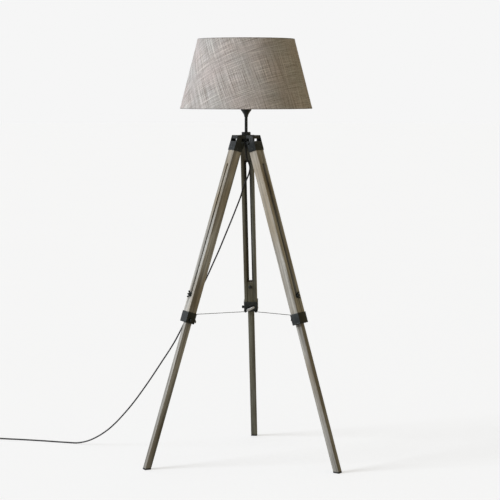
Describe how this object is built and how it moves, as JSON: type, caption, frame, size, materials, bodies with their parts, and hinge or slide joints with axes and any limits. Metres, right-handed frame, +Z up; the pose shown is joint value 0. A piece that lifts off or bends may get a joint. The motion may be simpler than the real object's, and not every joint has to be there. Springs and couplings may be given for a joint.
{
  "type": "tripod floor lamp",
  "caption": "Floor lamp with a tapered fabric shade on a short stem, over wooden tripod legs that fold inwards and telescope.",
  "frame": {"origin": "on the floor, in the middle of the lamp's own box, measured without the free cord", "axes": "+Z up, +Y towards the rear leg; the front legs stand either side of -Y, and the cord runs off along -X"},
  "size_m": [1.5078, 0.6486, 1.544],
  "materials": {
    "black_metal": "satin, near black with a slight green tint",
    "grey_washed_wood": "open grain, grey wash, matt",
    "satin_steel": "satin",
    "dark_rubber": "matt",
    "black_flex": "soft satin",
    "nickel": "bright",
    "opal_bulb": "opal",
    "taupe_linen": "slubby linen weave",
    "white_liner": "matt film"
  },
  "bodies": {
    "head": {"hub_casting": "black_metal", "hub_sleeve_nut": "black_metal", "strain_relief": "black_flex", "stem_tube": "black_metal", "inner_flex": "black_flex", "holder_funnel": "black_metal", "holder_body": "black_metal", "shade_fabric": "taupe_linen", "shade_liner": "white_liner", "shade_frame": "black_metal", "shade_top_wire": "black_metal", "cord_tube": "black_flex", "cord_switch": "black_flex", "cord_coil": "black_flex", "coil_tie": "black_flex", "plug_body": "black_flex", "plug_pin_near": "nickel", "plug_pin_far": "nickel"},
    "ring_nut": {"shade_ring_nut": "black_metal"},
    "bulb": {"bulb_cap": "nickel", "bulb_glass": "opal_bulb"},
    "rocker": {"switch_rocker": "black_flex"},
    "leg_rear": {"leg_cap_rear": "black_metal", "pivot_bolt_rear": "black_metal", "pivot_nut_rear": "black_metal", "upper_leg_rear": "grey_washed_wood", "collar_rear": "black_metal", "collar_screw_rear": "black_metal", "chain_left": "satin_steel", "chain_right": "satin_steel"},
    "foot_rear": {"lower_leg_rear": "grey_washed_wood", "foot_pad_rear": "dark_rubber", "slot_bolt_rear": "black_metal", "slot_washer_rear": "black_metal"},
    "wing_rear": {"wing_nut_rear": "black_metal"},
    "key_rear": {"key_screw_rear": "satin_steel"},
    "leg_left": {"leg_cap_left": "black_metal", "pivot_bolt_left": "black_metal", "pivot_nut_left": "black_metal", "upper_leg_left": "grey_washed_wood", "collar_left": "black_metal", "collar_screw_left": "black_metal"},
    "foot_left": {"lower_leg_left": "grey_washed_wood", "foot_pad_left": "dark_rubber", "slot_bolt_left": "black_metal", "slot_washer_left": "black_metal"},
    "wing_left": {"wing_nut_left": "black_metal"},
    "key_left": {"key_screw_left": "satin_steel"},
    "leg_right": {"leg_cap_right": "black_metal", "pivot_bolt_right": "black_metal", "pivot_nut_right": "black_metal", "upper_leg_right": "grey_washed_wood", "collar_right": "black_metal", "collar_screw_right": "black_metal"},
    "foot_right": {"lower_leg_right": "grey_washed_wood", "foot_pad_right": "dark_rubber", "slot_bolt_right": "black_metal", "slot_washer_right": "black_metal"},
    "wing_right": {"wing_nut_right": "black_metal"},
    "key_right": {"key_screw_right": "satin_steel"}
  },
  "joints": [
    {"name": "ring_nut_turn", "type": "hinge", "parent": "head", "child": "ring_nut", "pos_m": [0, -0.08427, 1.3156], "axis": [0, 0, 1], "continuous": true},
    {"name": "bulb_turn", "type": "hinge", "parent": "head", "child": "bulb", "pos_m": [0, -0.08427, 1.3366], "axis": [0, 0, 1], "continuous": true},
    {"name": "switch_rock", "type": "hinge", "parent": "head", "child": "rocker", "pos_m": [-1.0453, 0.15673, 0.0158], "axis": [0, -1, 0], "range_deg": [0, 14]},
    {"name": "leg_fold_rear", "type": "hinge", "parent": "head", "child": "leg_rear", "pos_m": [0, -0.05827, 1.169], "axis": [-1, 0, 0], "range_deg": [0, 14.5], "deforming": ["chain_left", "chain_right"]},
    {"name": "leg_slide_rear", "type": "slide", "parent": "leg_rear", "child": "foot_rear", "axis": [0, -0.2974, 0.9548], "range_m": [0, 0.485]},
    {"name": "wing_nut_turn_rear", "type": "hinge", "parent": "foot_rear", "child": "wing_rear", "pos_m": [0, 0.11347, 0.61763], "axis": [0, 0.9548, 0.2974], "continuous": true},
    {"name": "key_turn_rear", "type": "hinge", "parent": "leg_rear", "child": "key_rear", "pos_m": [0, 0.13889, 0.53599], "axis": [0, 0.9548, 0.2974], "continuous": true},
    {"name": "leg_fold_left", "type": "hinge", "parent": "head", "child": "leg_left", "pos_m": [-0.02252, -0.09727, 1.169], "axis": [0.5, -0.866, 0], "range_deg": [0, 14.5]},
    {"name": "leg_slide_left", "type": "slide", "parent": "leg_left", "child": "foot_left", "axis": [0.2575, 0.1487, 0.9548], "range_m": [0, 0.485]},
    {"name": "wing_nut_turn_left", "type": "hinge", "parent": "foot_left", "child": "wing_left", "pos_m": [-0.17124, -0.18314, 0.61763], "axis": [-0.8268, -0.4774, 0.2974], "continuous": true},
    {"name": "key_turn_left", "type": "hinge", "parent": "leg_left", "child": "key_left", "pos_m": [-0.19326, -0.19585, 0.53599], "axis": [-0.8268, -0.4774, 0.2974], "continuous": true},
    {"name": "leg_fold_right", "type": "hinge", "parent": "head", "child": "leg_right", "pos_m": [0.02252, -0.09727, 1.169], "axis": [0.5, 0.866, 0], "range_deg": [0, 14.5]},
    {"name": "leg_slide_right", "type": "slide", "parent": "leg_right", "child": "foot_right", "axis": [-0.2575, 0.1487, 0.9548], "range_m": [0, 0.485]},
    {"name": "wing_nut_turn_right", "type": "hinge", "parent": "foot_right", "child": "wing_right", "pos_m": [0.17124, -0.18314, 0.61763], "axis": [0.8268, -0.4774, 0.2974], "continuous": true},
    {"name": "key_turn_right", "type": "hinge", "parent": "leg_right", "child": "key_right", "pos_m": [0.19326, -0.19585, 0.53599], "axis": [0.8268, -0.4774, 0.2974], "continuous": true}
  ],
  "couplings": [
    {"joint": "leg_fold_left", "follows": "leg_fold_rear", "ratio": 1},
    {"joint": "leg_fold_right", "follows": "leg_fold_rear", "ratio": 1}
  ]
}
